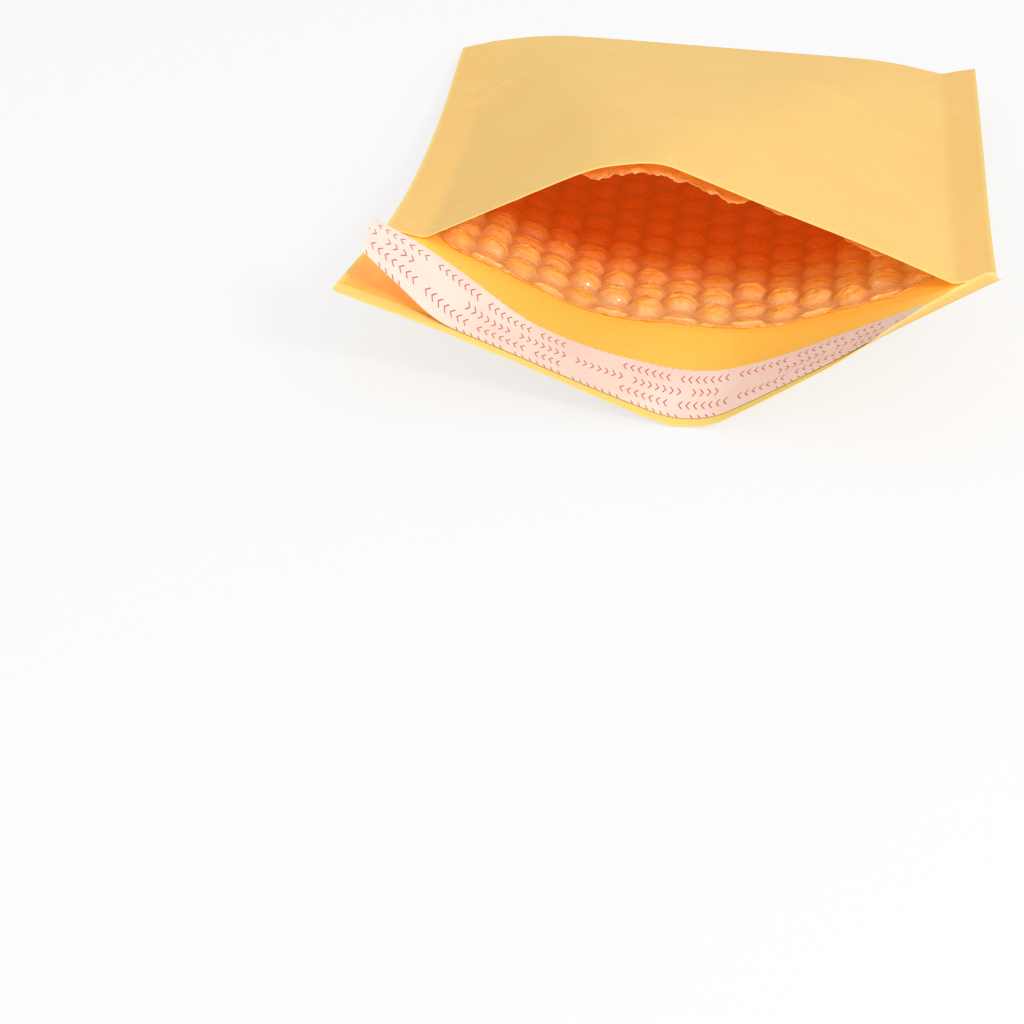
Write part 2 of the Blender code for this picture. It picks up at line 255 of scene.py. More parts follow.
def smoothNoise(flat, size, seed):   # smooth noise between -1 and 1 at each point
    shift = Vector((seed * 7.31, seed * 3.17, seed * 1.93))
    return np.array([noise.noise(Vector(point) / size + shift) for point in flat])


def keepFlatMap(bm):   # the flat coordinates as a UV map, one metre to one
    flatMap = bm.loops.layers.uv.new("flat")
    for face in bm.faces:
        for loop in face.loops:
            loop[flatMap].uv = (loop.vert.co.x, loop.vert.co.y)


def keepValue(bm, name, values):
    layer = bm.verts.layers.float.new(name)
    for vert, value in zip(bm.verts, values):
        vert[layer] = float(value)


def finishPiece(name, bm, material, node, angle):
    mesh = bpy.data.meshes.new(name)
    bm.to_mesh(mesh)
    bm.free()
    mesh.materials.append(material)
    mesh.shade_smooth()
    mesh.set_sharp_from_angle(angle=radians(angle))
    piece = bpy.data.objects.new(name, mesh)
    bpy.context.scene.collection.objects.link(piece)
    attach(piece, "root")
    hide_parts(node)
    triangles = sum(len(face.vertices) - 2 for face in mesh.polygons)
    print(f"{name}: {triangles} triangles")


def flatGrid(left, right, low, high, step):
    bm = bmesh.new()
    columns = evenCount(right - left, step)
    rows = evenCount(high - low, step)
    bmesh.ops.create_grid(bm, x_segments=columns, y_segments=rows, size=0.5)
    bmesh.ops.scale(bm, verts=bm.verts[:], vec=(right - left, high - low, 1))
    bmesh.ops.translate(bm, verts=bm.verts[:], vec=((left + right) / 2, (low + high) / 2, 0))
    return bm


def thicken(bm, thickness):   # a flat web becomes a slab above it, its faces pointing out
    raised = bmesh.ops.extrude_face_region(bm, geom=bm.faces[:])["geom"]
    top = [item for item in raised if isinstance(item, bmesh.types.BMVert)]
    bmesh.ops.translate(bm, verts=top, vec=(0, 0, thickness))
    bmesh.ops.recalc_face_normals(bm, faces=bm.faces[:])


# Shader maths

class Value:   # a socket that can be used in Python sums

    def __init__(self, finish, socket):
        self.finish = finish
        self.socket = socket

    def sum(self, operation, *values):
        return self.finish.node("ShaderNodeMath", {"operation": operation}, dict(enumerate(values)))

    def __add__(self, other):
        return self.sum("ADD", self, other)

    def __sub__(self, other):
        return self.sum("SUBTRACT", self, other)

    def __rsub__(self, other):
        return self.sum("SUBTRACT", other, self)

    def __mul__(self, other):
        return self.sum("MULTIPLY", self, other)

    def __truediv__(self, other):
        return self.sum("DIVIDE", self, other)

    def __lt__(self, other):
        return self.sum("LESS_THAN", self, other)

    def __gt__(self, other):
        return self.sum("GREATER_THAN", self, other)

    __radd__ = __add__
    __rmul__ = __mul__

    def wrap(self, length):
        return self.sum("FLOORED_MODULO", self, length)

    def absolute(self):
        return self.sum("ABSOLUTE", self)

    def floor(self):
        return self.sum("FLOOR", self)


class Finish:   # one material and the ways to build its nodes

    def __init__(self, name):
        self.material = bpy.data.materials.new(name)
        self.material.use_nodes = True
        self.tree = self.material.node_tree
        self.shader = self.tree.nodes["Principled BSDF"]

    def node(self, kind, settings, inputs, output=0):
        made = self.tree.nodes.new(kind)
        for key, value in settings.items():
            setattr(made, key, value)
        for key, value in inputs.items():
            self.feed(made.inputs[key], value)
        return Value(self, made.outputs[output])

    def feed(self, socket, value):
        if isinstance(value, Value):
            self.tree.links.new(value.socket, socket)
        elif isinstance(value, tuple) and socket.type == "RGBA":
            socket.default_value = (*value[:3], 1)
        else:
            socket.default_value = value

    def set(self, **inputs):
        for key, value in inputs.items():
            self.feed(self.shader.inputs[key.replace("_", " ")], value)

    def flat(self):   # the sheet's own coordinates
        return self.node("ShaderNodeUVMap", {"uv_map": "flat"}, {})

    def parts(self, vector):
        made = self.tree.nodes.new("ShaderNodeSeparateXYZ")
        self.feed(made.inputs[0], vector)
        return [Value(self, made.outputs[index]) for index in range(3)]

    def stretched(self, vector, scale):
        return self.node("ShaderNodeMapping", {}, {"Vector": vector, "Scale": scale})

    def noise(self, vector, scale, detail=2.0, roughness=0.5):
        return self.node("ShaderNodeTexNoise", {}, {"Vector": vector, "Scale": scale,
                                                   "Detail": detail, "Roughness": roughness})

    def attribute(self, name):
        return self.node("ShaderNodeAttribute", {"attribute_name": name}, {}, "Fac")

    def band(self, value, low, high):   # 0 below low, 1 above high, smooth between
        return self.node("ShaderNodeMapRange", {"interpolation_type": "SMOOTHSTEP"},
                         {"Value": value, "From Min": low, "From Max": high})

    def blend(self, share, first, second):   # the first colour at share 0, the second at 1
        return self.node("ShaderNodeMix", {"data_type": "RGBA"}, {0: share, 6: first, 7: second}, 2)

    def bump(self, height, distance, strength=1.0):
        return self.node("ShaderNodeBump", {}, {"Height": height, "Distance": distance,
                                                "Strength": strength})


def linear(red, green, blue):   # a screen colour, 0 to 255, as the shader's linear colour
    def channel(value):
        value = value / 255
        return value / 12.92 if value <= 0.04045 else ((value + 0.055) / 1.055) ** 2.4
    return tuple(channel(value) for value in (red, green, blue))


# Finishes

kraftLook = {
    "outside": linear(252, 209, 121),
    "outsideShade": linear(249, 201, 112),
    "outsideWarm": linear(253, 199, 110),
    "inside": linear(250, 208, 96),
    "insideShade": linear(247, 199, 84),
    "bare": linear(253, 226, 134),
    "cutEdgeHighlight": linear(254, 232, 140),
    "glow": (0.20, 0.080, 0.004),   # light that comes through the paper, in the mouth's shade
    "roughness": 0.54,
    "roughnessRange": 0.16,
    "fibreStretch": (900, 260, 1),
    "fibreBump": 0.00003,
}


def makeKraft():
    finish = Finish("kraft_paper")
    flat = finish.flat()
    fibres = finish.noise(finish.stretched(flat, kraftLook["fibreStretch"]), 1, 4, 0.6)
    clouds = finish.noise(flat, 28, 3, 0.5)
    specks = finish.noise(flat, 520, 2, 0.5)
    patches = finish.noise(flat, 300, 2, 0.5)
    share = finish.band(fibres * 0.45 + clouds * 0.35 + specks * 0.2, 0.35, 0.65)
    outside = finish.blend(share, kraftLook["outsideShade"], kraftLook["outside"])
    mottle = finish.band(finish.noise(flat, 160, 3, 0.6), 0.35, 0.65)
    warm = finish.attribute("seam") * mottle * 0.8
    outside = finish.blend(warm, outside, kraftLook["outsideWarm"])
    inside = finish.blend(share, kraftLook["insideShade"], kraftLook["inside"])
    inside = finish.blend(finish.attribute("bare") * 0.75, inside, kraftLook["bare"])
    colour = finish.blend(finish.attribute("inside"), outside, inside)
    # painted highlight: the paper is painted paler along every cut edge, where the edge catches the
    # light
    colour = finish.blend(finish.attribute("cut") * 0.8, colour, kraftLook["cutEdgeHighlight"])
    finish.set(Base_Color=colour,
               Emission_Color=finish.blend(finish.attribute("glow"), (0.0, 0.0, 0.0),
                                           kraftLook["glow"]),
               Roughness=patches * kraftLook["roughnessRange"] + kraftLook["roughness"],
               Normal=finish.bump(fibres * 0.6 + specks * 0.4, kraftLook["fibreBump"]))
    finish.set(Emission_Strength=1.0, Specular_IOR_Level=0.35)
    return finish.material


filmLook = {
    "dome": linear(255, 192, 90),
    "groove": linear(228, 170, 122),
    "paintedShadeDome": linear(250, 116, 32),
    "paintedShadeGroove": linear(232, 96, 34),
    "margin": linear(253, 204, 112),
    "glow": (0.16, 0.068, 0.003),   # light that comes through the paper
    "deepGlow": (0.13, 0.034, 0.0018),
    "crestHighlight": linear(255, 216, 168),
    "crestHighlightShare": 0.5,
    "pleatStretch": (150, 520, 1),
    "pleatBump": 0.0005,
    "roughness": 0.2,
    "coat": 0.9,
    "coatRoughness": 0.05,
}


def makeFilm():
    finish = Finish("bubble_film")
    flat = finish.flat()
    height = finish.attribute("height")
    pouchShade = finish.attribute("pouchShade")
    cloud = finish.band(finish.noise(flat, 90, 3, 0.6), 0.35, 0.7)
    # the flat film between the bubbles is greyer and darker than their tops: partly the film's own milky
    # grey, partly painted shade in the grooves
    lit = finish.blend(height, filmLook["groove"], filmLook["dome"])
    # painted shade: deep in the pouch the film is painted a darker, deeper orange, where little light
    # reaches
    deep = finish.blend(height, filmLook["paintedShadeGroove"], filmLook["paintedShadeDome"])
    colour = finish.blend(pouchShade, lit, deep)
    margin = finish.attribute("margin")
    colour = finish.blend(margin * 0.8, colour, filmLook["margin"])

    # pleats run across each bubble, and their crests get a painted pale highlight, fading where the
    # pouch is painted as shaded
    pleats = finish.noise(finish.stretched(flat, filmLook["pleatStretch"]), 1, 3, 0.55)
    crest = 1 - finish.band((pleats - 0.5).absolute(), 0.0, 0.05)
    litCrests = crest * (1 - pouchShade) * (cloud * 0.6 + 0.4) * filmLook["crestHighlightShare"]
    colour = finish.blend(litCrests, colour, filmLook["crestHighlight"])
    creases = finish.noise(flat, 300, 3, 0.65)
    finish.set(Base_Color=colour,
               Emission_Color=finish.blend(pouchShade, filmLook["glow"], filmLook["deepGlow"]),
               Roughness=cloud * 0.14 - margin * 0.1 + filmLook["roughness"],
               Normal=finish.bump(crest * 0.6 + creases * (margin * 1.6 + 0.5),
                                  filmLook["pleatBump"], 0.6))
    finish.set(Emission_Strength=1.0, Coat_Weight=filmLook["coat"],
               Coat_Roughness=filmLook["coatRoughness"], IOR=1.5)
    return finish.material


stripLook = {
    "paper": linear(253, 234, 219),
    "paperShade": linear(251, 226, 210),
    "mark": linear(206, 92, 94),
    "markStrength": 0.92,
    "markSlant": 0.55,
    "topRow": 0.0045,   # middle of the first row, from the edge nearer the mouth
    "rowPitch": 0.0060,
    "markHeight": 0.0034,
    "markPitch": 0.0021,
    "strokeWidth": 0.00046,
    "marksInWord": 7,
    "groupStart": -0.0148,
    "marksInGroup": 36,
    "groupPitch": 0.092,
    "roughness": 0.42,
    "grainBump": 0.00003,
}


def makeReleasePaper():
    finish = Finish("release_paper")
    flat = finish.flat()
    across, along, _ = finish.parts(flat)
    cloud = finish.noise(flat, 60, 2, 0.5)
    colour = finish.blend(finish.band(cloud, 0.3, 0.7), stripLook["paperShade"], stripLook["paper"])

    # rows of small chevrons in groups, every other row pointing back and half a group further on
    rowPitch, markPitch = stripLook["rowPitch"], stripLook["markPitch"]
    top = flapEnd + releaseStrip["edgeMargin"] + releaseStrip["width"]
    fromTop = top + rowPitch / 2 - stripLook["topRow"] - along
    row = (fromTop / rowPitch).floor()
    offMiddle = (fromTop - row * rowPitch - rowPitch / 2).absolute()
    turned = row.wrap(2)
    inGroup = across - stripLook["groupStart"] + turned * stripLook["groupPitch"] / 2
    inGroup = inGroup.wrap(stripLook["groupPitch"])
    slanted = inGroup + offMiddle * (turned * 2 - 1) * stripLook["markSlant"]
    number = (slanted / markPitch).floor()
    unspaced = number.wrap(stripLook["marksInWord"] + 1) < stripLook["marksInWord"]
    offStroke = (slanted.wrap(markPitch) - markPitch / 2).absolute()
    mask = (offStroke < stripLook["strokeWidth"] / 2) * (offMiddle < stripLook["markHeight"] / 2)
    mask = mask * (number > -0.5) * (number < stripLook["marksInGroup"]) * unspaced
    marked = mask * finish.attribute("inside") * stripLook["markStrength"]
    colour = finish.blend(marked, colour, stripLook["mark"])
    finish.set(Base_Color=colour, Roughness=stripLook["roughness"],
               Normal=finish.bump(finish.noise(flat, 700, 2, 0.5), stripLook["grainBump"]))
    finish.set(Specular_IOR_Level=0.4)
    return finish.material


adhesiveLook = {
    "thin": linear(254, 188, 84),
    "thick": linear(255, 198, 98),
    "alpha": 0.45,
    "alphaRange": 0.15,
    # painted light: a glow that stands for light coming through the paper and makes up for the shade the
    # half-clear tape throws on it
    "glow": (0.26, 0.13, 0.02),
    "roughness": 0.25,
}


def makeAdhesive():
    finish = Finish("adhesive")
    flat = finish.flat()
    cloud = finish.band(finish.noise(flat, 120, 3, 0.5), 0.3, 0.7)
    finish.set(Base_Color=finish.blend(cloud, adhesiveLook["thin"], adhesiveLook["thick"]),
               Alpha=cloud * adhesiveLook["alphaRange"] + adhesiveLook["alpha"],
               Roughness=adhesiveLook["roughness"])
    finish.set(Emission_Color=adhesiveLook["glow"], Emission_Strength=1.0)
    return finish.material


# Kraft paper

paperSheet = {
    "step": 0.0016,
    "unevenCut": 0.0005,   # how far the flap's cut end wanders
    "cornerRadius": 0.0014,
    "cutHighlightBand": 0.0007,
    "bareEdge": (0.0045, 0.0065),   # from the cut end: bare paper up to here, none past there
    "shadeReach": 0.030,   # how far the mouth's shade reaches over the flap
    "shadeExtra": 0.012,   # and how much further at the sides
    "waves": ((0.045, 1, 0.00048), (0.016, 2, 0.00012)),   # size, seed, height
    "seamWaves": (0.005, 5, 0.00012),
    "sharpAngle": 60,
}

flapCurl = {   # the flap's cut end turns up towards its right corner
    "height": 0.0030,
    "length": 0.0075,
    "from": 0.045,
    "to": 0.080,
}


def curlHeight(flat):
    share = np.clip((flapEnd + flapCurl["length"] - flat[:, 1]) / flapCurl["length"], 0, 1)
    return flapCurl["height"] * share ** 2 * smoothStep(flapCurl["from"], flapCurl["to"], flat[:, 0])


panelCreases = (   # soft folds pressed into the front panel: points across and along
    ((-0.0840, 0.0745), (-0.0762, 0.0676), (-0.0656, 0.0606), (-0.0520, 0.0690), (-0.0442, 0.0811)),
    ((0.0290, 0.0704), (0.0397, 0.0762), (0.0512, 0.0809), (0.0669, 0.0991)),
)
creaseShape = {"height": 0.00075, "width": 0.0028, "sharpness": 1.3}


def creaseHeight(flat):
    nearest = np.full(len(flat), 1.0)
    for points in panelCreases:
        for start, end in zip(points, points[1:]):
            start, run = np.array(start), np.array(end) - np.array(start)
            share = np.clip((flat[:, :2] - start) @ run / (run @ run), 0, 1)
            gap = np.hypot(*(flat[:, :2] - start - share[:, None] * run).T)
            nearest = np.minimum(nearest, gap)
    fall = (nearest / creaseShape["width"]) ** creaseShape["sharpness"]
    return -creaseShape["height"] * np.exp(-fall)


def makePaper(sheet):
    bm = flatGrid(-halfWidth, halfWidth, flapEnd, bodyLength, paperSheet["step"])
    flat = flatVerts(bm)
    across, along = flat[:, 0], flat[:, 1]

    # the flap's end is cut a little unevenly and its corners are rounded
    radius = paperSheet["cornerRadius"]
    inset = np.clip(np.abs(across) - (halfWidth - radius), 0, radius)
    cut = radius - np.sqrt(radius ** 2 - inset ** 2)
    wander = smoothNoise(np.stack([across, across * 0, across * 0], axis=1), 0.005, 3)
    nearEnd = smoothStep(flapEnd + 0.010, flapEnd, along)
    along += (cut + (wander + 0.6) * paperSheet["unevenCut"]) * nearEnd
    flat[:, 1] = along
    moveVerts(bm, flat)
    keepFlatMap(bm)
    thicken(bm, sheetShape["paper"])

    flat = flatVerts(bm)
    inside = (flat[:, 2] > sheetShape["paper"] / 2).astype(float)
    seam = smoothStep(rootLine - 0.002, rootLine + 0.001, np.abs(flat[:, 0]))
    seam = seam * (flat[:, 1] > -bodyLength)
    toCut = np.minimum(bodyLength - flat[:, 1], flat[:, 1] - flapEnd)
    toCut = np.minimum(toCut, halfWidth - np.abs(flat[:, 0]) + 0.0002)
    keepValue(bm, "inside", inside)
    keepValue(bm, "seam", seam)
    bareFull, bareNone = paperSheet["bareEdge"]
    keepValue(bm, "bare", smoothStep(flapEnd + bareNone, flapEnd + bareFull, flat[:, 1]))
    pastMouth = -bodyLength - flat[:, 1]
    toSide = smoothStep(0.02, halfWidth, np.abs(flat[:, 0]))
    shaded = smoothStep(paperSheet["shadeReach"], 0.0, pastMouth - paperSheet["shadeExtra"] * toSide)
    keepValue(bm, "glow", inside * np.where(flat[:, 1] > -foldArc, 1, shaded))
    # the painted highlight along the cut edges fades out over this band
    keepValue(bm, "cut", 1 - smoothStep(0, paperSheet["cutHighlightBand"], toCut))

    # faint waves over the panels and finer ones in the sealed margins
    level = flat * (1, 1, 0)
    waves = sum(smoothNoise(level, size, seed) * high for size, seed, high in paperSheet["waves"])
    size, seed, high = paperSheet["seamWaves"]
    fine = smoothNoise(level, size, seed) * high
    free = smoothStep(rootLine, rootLine - 0.02, np.abs(flat[:, 0]))
    free = free * smoothStep(0.0, 0.03, flat[:, 1])
    free = free * smoothStep(bodyLength, bodyLength - 0.004, flat[:, 1])
    flat[:, 2] += waves * free + fine * seam + creaseHeight(flat) + curlHeight(flat)
    moveVerts(bm, sheet.lay(flat))
    finishPiece("kraft_sheet", bm, makeKraft(), "paper_envelope",
                paperSheet["sharpAngle"])


# Bubble film

filmWeb = {
    "thickness": 0.00012,
    "pitch": 0.012,
    "bubbleRadius": 0.0054,
    "bubbleHeight": 0.0024,
    "bubbleFill": (0.94, 0.85),   # middle and spread of how full the bubbles are
    "bubbleLean": 0.25,
    "setback": 0.0015,
    "margin": 0.0026,   # flat film between the cut end and the first bubbles
    "marginStep": 0.0008,
    "sealedWidth": 0.009,
    "panelGap": 0.0005,
    "sealGap": 0.00008,
    "fineLength": 0.062,   # the bubbles that are seen through the mouth are finer
    "fineCuts": 5,
    "plainCuts": 1,
    "fineRings": 9,
    "plainRings": 4,
    "foldClear": 0.7 * foldArc,   # no bubbles this near the fold's middle
    "takenRoom": 0.0011,   # the part of half the room between the panels that isn't the bubble's
    "leastRise": 0.0004,
    "pleats": (0.0055, 21, 0.00050),   # size, seed, height
    "wrinkles": (0.0024, 22, 0.00030),
    "darkDepth": (0.012, 0.060),
    "frontDepth": 0.45,   # the film under the front panel gets at least this share of the painted shade of the deep pouch
    "raggedEnd": ((0.0045, 8, 0.0010), (0.0016, 9, 0.0006)),
    "shortEnds": ((0.062, 0.080, 0.007), (-0.072, -0.081, 0.006)),   # from, to, how much shorter
    "frontCrumple": (0.0002, 0.0003),   # middle and spread of how far the cut end stands off
    "backCrumple": (0.0004, 0.0005),
    "droops": ((-0.034, 0.019, 0.0028), (0.021, 0.032, 0.0008), (0.046, 0.062, 0.0014)),
    "sharpAngle": 80,
}


def makeHoneycomb():
    pitch = filmWeb["pitch"]
    length = bodyLength - filmWeb["setback"]
    columns = int(rootLine / (pitch * sqrt(3) / 2)) + 1
    rows = int(length / pitch) + 1
    bm = bmesh.new()
    turn = Matrix.Rotation(radians(90), 4, "Z")
    for column in range(-columns, columns + 1):
        for row in range(-rows - 1, rows + 1):
            centre = Vector((column * pitch * sqrt(3) / 2, (row + 0.5 * (column % 2)) * pitch, 0))
            bmesh.ops.create_circle(bm, cap_ends=True, radius=pitch / sqrt(3), segments=6,
                                    matrix=Matrix.Translation(centre) @ turn)
    bmesh.ops.remove_doubles(bm, verts=bm.verts[:], dist=pitch / 100)
    return bm


def cutAt(bm, geometry, axis, place, direction, clearOuter):   # one cut square to an axis
    spot = Vector((0, 0, 0))
    spot[axis] = place
    normal = Vector((0, 0, 0))
    normal[axis] = direction
    return bmesh.ops.bisect_plane(bm, geom=geometry, dist=1e-7, plane_co=spot, plane_no=normal,
                                  clear_outer=clearOuter)["geom"]


def trimTo(bm, axis, low, high):
    for place, direction in ((low, -1), (high, 1)):
        cutAt(bm, bm.verts[:] + bm.edges[:] + bm.faces[:], axis, place, direction, True)


def widen(bm, reach, width):   # a flat margin along both sides of the web
    for side in (-1, 1):
        edge = [item for item in bm.edges
                if item.is_boundary and all(abs(vert.co.x - side * reach) < 1e-6 for vert in item.verts)]
        grown = bmesh.ops.extrude_edge_only(bm, edges=edge)["geom"]
        outer = [item for item in grown if isinstance(item, bmesh.types.BMVert)]
        bmesh.ops.translate(bm, verts=outer, vec=(side * width, 0, 0))


def crossCut(bm, faces, axis, places):   # lines across some of the faces
    for place in places:
        faces = [face for face in faces if face.is_valid]
        edges = list(dict.fromkeys(edge for face in faces for edge in face.edges))
        verts = list(dict.fromkeys(vert for face in faces for vert in face.verts))
        cut = cutAt(bm, verts + edges + faces, axis, place, 1, False)
        faces = [item for item in cut if isinstance(item, bmesh.types.BMFace)]


def bubbleCentres(flat):   # the middle of the bubble that each point belongs to
    pitch = filmWeb["pitch"]
    columnPitch = pitch * sqrt(3) / 2
    best = np.full(len(flat), np.inf)
    centres = np.zeros((len(flat), 2))
    guess = np.round(flat[:, 0] / columnPitch)
    for shift in (-1, 0, 1):
        column = guess + shift
        offset = 0.5 * np.mod(column, 2)
        row = np.round(flat[:, 1] / pitch - offset)
        across, along = column * columnPitch, (row + offset) * pitch
        away = np.hypot(flat[:, 0] - across, flat[:, 1] - along)
        nearer = away < best
        best = np.where(nearer, away, best)
        centres[nearer] = np.stack([across, along], axis=1)[nearer]
    return centres, best


def bubbleHeights(flat, sheet):   # how high the film stands at each point, and that from 0 to 1
    length = bodyLength - filmWeb["setback"]
    centres, away = bubbleCentres(flat)
    seeds = np.column_stack([centres * 97, np.full(len(flat), 4.2)])
    filled = smoothNoise(seeds, 1, 4)
    leanAcross, leanAlong = smoothNoise(seeds, 1, 5), smoothNoise(seeds, 1, 6)
    room = sheet.room(centres[:, 0], centres[:, 1]) / 2 - filmWeb["takenRoom"]
    middle, vary = filmWeb["bubbleFill"]
    tall = filmWeb["bubbleHeight"] * (middle + vary * filled)
    tall = np.minimum(tall, np.maximum(room, filmWeb["leastRise"]))

    # the bubbles are lower deep in the pouch, at the cut ends and most of all under the lip
    toEnd = length - filmWeb["margin"] - np.abs(centres[:, 1])
    tall = tall * (1 - 0.3 * smoothStep(0.015, 0.055, toEnd))
    tall = tall * (0.35 + 0.65 * smoothStep(0.000, 0.006, toEnd))
    underLip = (centres[:, 1] > 0) * smoothStep(0.026, 0.012, toEnd)
    tall = tall * (1 - 0.85 * underLip)

    # a soft pillow that leans a little, flatter on top
    off = flat[:, :2] - centres
    tilt = (leanAcross * off[:, 0] + leanAlong * off[:, 1]) / filmWeb["bubbleRadius"]
    lean = 1 + tilt * filmWeb["bubbleLean"]
    share = np.clip(away / filmWeb["bubbleRadius"], 0, 1)
    profile = (1 - share ** 3) ** 0.8
    apart = seeds * (0.003, 0.003, 0)
    size, seed, pleatHeight = filmWeb["pleats"]
    pleat = smoothNoise(flat * (1, 3.4, 0) + apart, size, seed)
    size, seed, wrinkleHeight = filmWeb["wrinkles"]
    wrinkle = smoothNoise(flat * (1, 2.2, 0) + apart, size, seed)
    creased = (1 - 2.4 * np.abs(pleat)) * pleatHeight + wrinkle * wrinkleHeight
    rise = profile * tall * lean + creased * profile * np.minimum(tall / 0.002, 1)
    return np.maximum(rise, 0), profile


def roundCells(bm, cells, cellArea, rings):   # rings of faces in each cell, round in a whole one
    whole = [face.calc_area() > 0.99 * cellArea for face in cells]
    middles = [face.calc_center_median() for face in cells]
    for ring in range(rings):
        bmesh.ops.inset_individual(bm, faces=cells, thickness=0)
        for face, middle, isWhole in zip(cells, middles, whole):
            for vert in face.verts:
                away = vert.co - middle
                away.z = 0
                if ring > 0:
                    away *= (rings - ring) / (rings - ring + 1)
                elif isWhole:
                    away = away.normalized() * filmWeb["bubbleRadius"]
                else:   # a cell that the web's edge cuts keeps its outline
                    away *= 0.9
                vert.co.x = middle.x + away.x
                vert.co.y = middle.y + away.y
    bmesh.ops.poke(bm, faces=cells)


def makeFilmWeb(sheet):
    length = bodyLength - filmWeb["setback"]
    fineStart = length - filmWeb["fineLength"]
    bm = makeHoneycomb()
    trimTo(bm, 0, -rootLine, rootLine)
    trimTo(bm, 1, -length, length)
    crossCut(bm, bm.faces[:], 1, np.linspace(-foldArc, foldArc, 7))
    margins = (length - filmWeb["margin"] * 0.5, length - filmWeb["margin"])
    crossCut(bm, bm.faces[:], 1, [side * place for side in (-1, 1) for place in margins])
    for side in (-1, 1):
        ends = [face for face in bm.faces if side * face.calc_center_median().y > margins[1]]
        crossCut(bm, ends, 0, np.arange(-rootLine, rootLine, filmWeb["marginStep"])[1:])

    # the edges of the cells are divided, finely where they show
    divided = [edge for edge in bm.edges
               if max(abs(vert.co.y) for vert in edge.verts) <= margins[1] - 1e-6]
    seen = [edge for edge in divided if min(vert.co.y for vert in edge.verts) < -fineStart]
    rest = [edge for edge in divided if min(vert.co.y for vert in edge.verts) >= -fineStart]
    bmesh.ops.subdivide_edges(bm, edges=seen, cuts=filmWeb["fineCuts"], use_grid_fill=False)
    bmesh.ops.subdivide_edges(bm, edges=rest, cuts=filmWeb["plainCuts"], use_grid_fill=False)
    widen(bm, rootLine, filmWeb["sealedWidth"])
    bmesh.ops.recalc_face_normals(bm, faces=bm.faces[:])
    if bm.faces[0].normal.z < 0:
        bmesh.ops.reverse_faces(bm, faces=bm.faces[:])
    thicken(bm, filmWeb["thickness"])

    # each cell gets rings of faces, which are raised into a bubble further down
    cellArea = filmWeb["pitch"] ** 2 * sqrt(3) / 2
    top = [face for face in bm.faces if face.normal.z > 0.9]
    inner = [face for face in top
             if max(abs(vert.co.x) for vert in face.verts) < rootLine + 1e-6
             and min(abs(vert.co.y) for vert in face.verts) > filmWeb["foldClear"]
             and max(abs(vert.co.y) for vert in face.verts) < margins[1] + 1e-6]
    cells = [face for face in inner if face.calc_area() > 0.15 * cellArea]
    fine = [face for face in cells if face.calc_center_median().y < -fineStart]
    plain = [face for face in cells if face.calc_center_median().y >= -fineStart]
    for faces, rings in ((fine, filmWeb["fineRings"]), (plain, filmWeb["plainRings"])):
        roundCells(bm, faces, cellArea, rings)
    keepFlatMap(bm)

    flat = flatVerts(bm)
    upper = flat[:, 2] > filmWeb["thickness"] / 2
    rise, profile = bubbleHeights(flat, sheet)
    free = (np.abs(flat[:, 0]) < rootLine - 0.0001) & (np.abs(flat[:, 1]) > filmWeb["foldClear"])
    free = free & (np.abs(flat[:, 1]) < margins[1] - 1e-6)
    flat[:, 2] += rise * upper * free
    toEnd = length - np.abs(flat[:, 1])
    onFront = flat[:, 1] > 0
    # painted shade share: more further into the pouch, and at least frontDepth under the front panel
    dark = smoothStep(*filmWeb["darkDepth"], toEnd)
    pale = smoothStep(filmWeb["margin"] + 0.0015, 0.0008, toEnd)
    keepValue(bm, "height", profile * free)
    keepValue(bm, "pouchShade", np.maximum(dark, filmWeb["frontDepth"] * onFront))
    # painted shade: the pale cut margin is toned down under the front panel's lip
    keepValue(bm, "margin", pale * (1 - 0.6 * onFront))

    # the web's cut ends are ragged and crumpled, stop short of the mouth's corners, and hang
    # a little below the lip in places
    sealed = smoothStep(rootLine - 0.0005, rootLine, np.abs(flat[:, 0]))
    near = smoothStep(0.009, 0.0, toEnd)
    ragged = sum(smoothNoise(flat * (1, 0.2, 0), size, seed) * high
                 for size, seed, high in filmWeb["raggedEnd"])
    short = sum(smoothStep(start, end, flat[:, 0]) * less
                for start, end, less in filmWeb["shortEnds"])
    flat[:, 1] -= np.sign(flat[:, 1]) * near * (ragged + 0.0005 + short * (1 - onFront))
    crumple = smoothNoise(flat * (1, 1, 0), 0.0032, 11) + 0.6 * smoothNoise(flat * (1, 1, 0), 0.0014, 12)
    crumpled = smoothStep(0.005, 0.001, toEnd) * (1 - sealed)
    standOff = [middle + vary * crumple
                for middle, vary in (filmWeb["frontCrumple"], filmWeb["backCrumple"])]
    flat[:, 2] += crumpled * np.where(onFront, *standOff)
    for left, right, deep in filmWeb["droops"]:
        share = smoothStep(left, left + 0.004, flat[:, 0])
        share = share * smoothStep(right, right - 0.004, flat[:, 0])
        flat[:, 2] += onFront * smoothStep(0.012, 0.0, toEnd) * share * deep * (1 + 0.3 * crumple)
    pressed = np.maximum(sealed, smoothStep(0.012, 0.002, toEnd))
    base = filmWeb["panelGap"] + (filmWeb["sealGap"] - filmWeb["panelGap"]) * pressed
    flat[:, 2] = np.maximum(flat[:, 2], 0) + sheetShape["paper"] + base
    moveVerts(bm, sheet.lay(flat))
    finishPiece("bubble_web", bm, makeFilm(), "bubble_liner",
                filmWeb["sharpAngle"])


# Adhesive and its peel-off cover

releaseStrip = {
    "width": 0.022,
    "edgeMargin": 0.0035,
    "endInset": 0.003,
    "thickness": 0.00015,
    "gap": 0.00026,
    "liftStart": (-0.045, -0.066),
    "liftSlope": (0.25, 0.48),
    "liftSoftness": 0.006,
    "endLean": 0.0024,   # the free end's corner nearer the mouth reaches further out
    "leanLength": 0.025,
    "step": 0.0015,
    "sharpAngle": 60,
}


